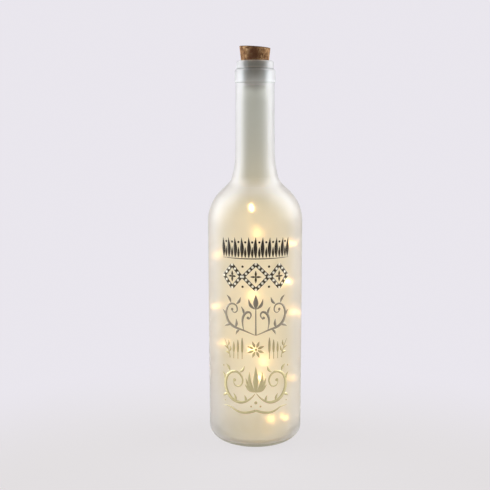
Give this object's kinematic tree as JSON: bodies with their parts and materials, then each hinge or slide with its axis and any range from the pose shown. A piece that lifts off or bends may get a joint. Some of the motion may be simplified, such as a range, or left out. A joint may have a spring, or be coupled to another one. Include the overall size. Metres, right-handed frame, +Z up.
{
  "type": "bottle light",
  "caption": "Frosted glass bottle with a tapered cork stopper that holds a battery tray and slide switch, and a string of small lights lying inside.",
  "frame": {"origin": "centre of the bottle's base, on the surface it stands on", "axes": "+Z up the bottle, -Y out of the printed front, +X to the right seen from the front"},
  "size_m": [0.073, 0.073, 0.3048],
  "materials": {
    "frosted_glass": "satin",
    "front_print": "matte",
    "cork": "matte",
    "tray_plastic": "matte",
    "cap_plastic": "matte",
    "plated_steel": "satin",
    "switch_board": "matte",
    "contact_metal": "satin",
    "slider_plastic": "matte",
    "cell_steel": "polished",
    "resistor_body": "gloss",
    "wire_insulation": "gloss",
    "seal_rubber": "matte",
    "string_wire": "satin",
    "light_resin": "gloss",
    "light_chip": "gloss"
  },
  "bodies": {
    "bottle": {"glass_bottle": "frosted_glass", "neck_wire_lower": "string_wire", "light_string": "string_wire", "light_drop_01": "light_resin", "light_drop_02": "light_resin", "light_drop_03": "light_resin", "light_drop_04": "light_resin", "light_drop_05": "light_resin", "light_drop_06": "light_resin", "light_drop_07": "light_resin", "light_drop_08": "light_resin", "light_drop_09": "light_resin", "light_drop_10": "light_resin", "light_drop_11": "light_resin", "light_drop_12": "light_resin", "light_drop_13": "light_resin", "light_drop_14": "light_resin", "light_drop_15": "light_resin", "light_chip_01": "light_chip", "light_chip_02": "light_chip", "light_chip_03": "light_chip", "light_chip_04": "light_chip", "light_chip_05": "light_chip", "light_chip_06": "light_chip", "light_chip_07": "light_chip", "light_chip_08": "light_chip", "light_chip_09": "light_chip", "light_chip_10": "light_chip", "light_chip_11": "light_chip", "light_chip_12": "light_chip", "light_chip_13": "light_chip", "light_chip_14": "light_chip", "light_chip_15": "light_chip"},
    "cork": {"cork_stopper": "cork", "neck_wire_upper": "string_wire"},
    "tray": {"battery_tray": "tray_plastic", "tray_cap": "cap_plastic", "button_cell_1": "cell_steel", "button_cell_2": "cell_steel", "button_cell_3": "cell_steel", "switch_frame": "plated_steel", "switch_base": "switch_board", "switch_pins": "contact_metal", "positive_contact": "contact_metal", "negative_contact": "contact_metal", "resistor": "resistor_body", "pin_link_wire": "wire_insulation", "tray_link_wire": "wire_insulation", "wire_seal": "seal_rubber"},
    "slider": {"switch_slider": "slider_plastic", "switch_wiper": "contact_metal"}
  },
  "joints": [
    {"name": "cork_pull", "type": "slide", "parent": "bottle", "child": "cork", "axis": [0, 0, 1], "range_m": [0, 0.045], "deforming": ["neck_wire_lower"]},
    {"name": "tray_pull", "type": "slide", "parent": "cork", "child": "tray", "axis": [0, 0, 1], "range_m": [0, 0.03], "deforming": ["neck_wire_upper"]},
    {"name": "switch_slide", "type": "slide", "parent": "tray", "child": "slider", "axis": [1, 0, 0], "range_m": [0, 0.002]}
  ]
}
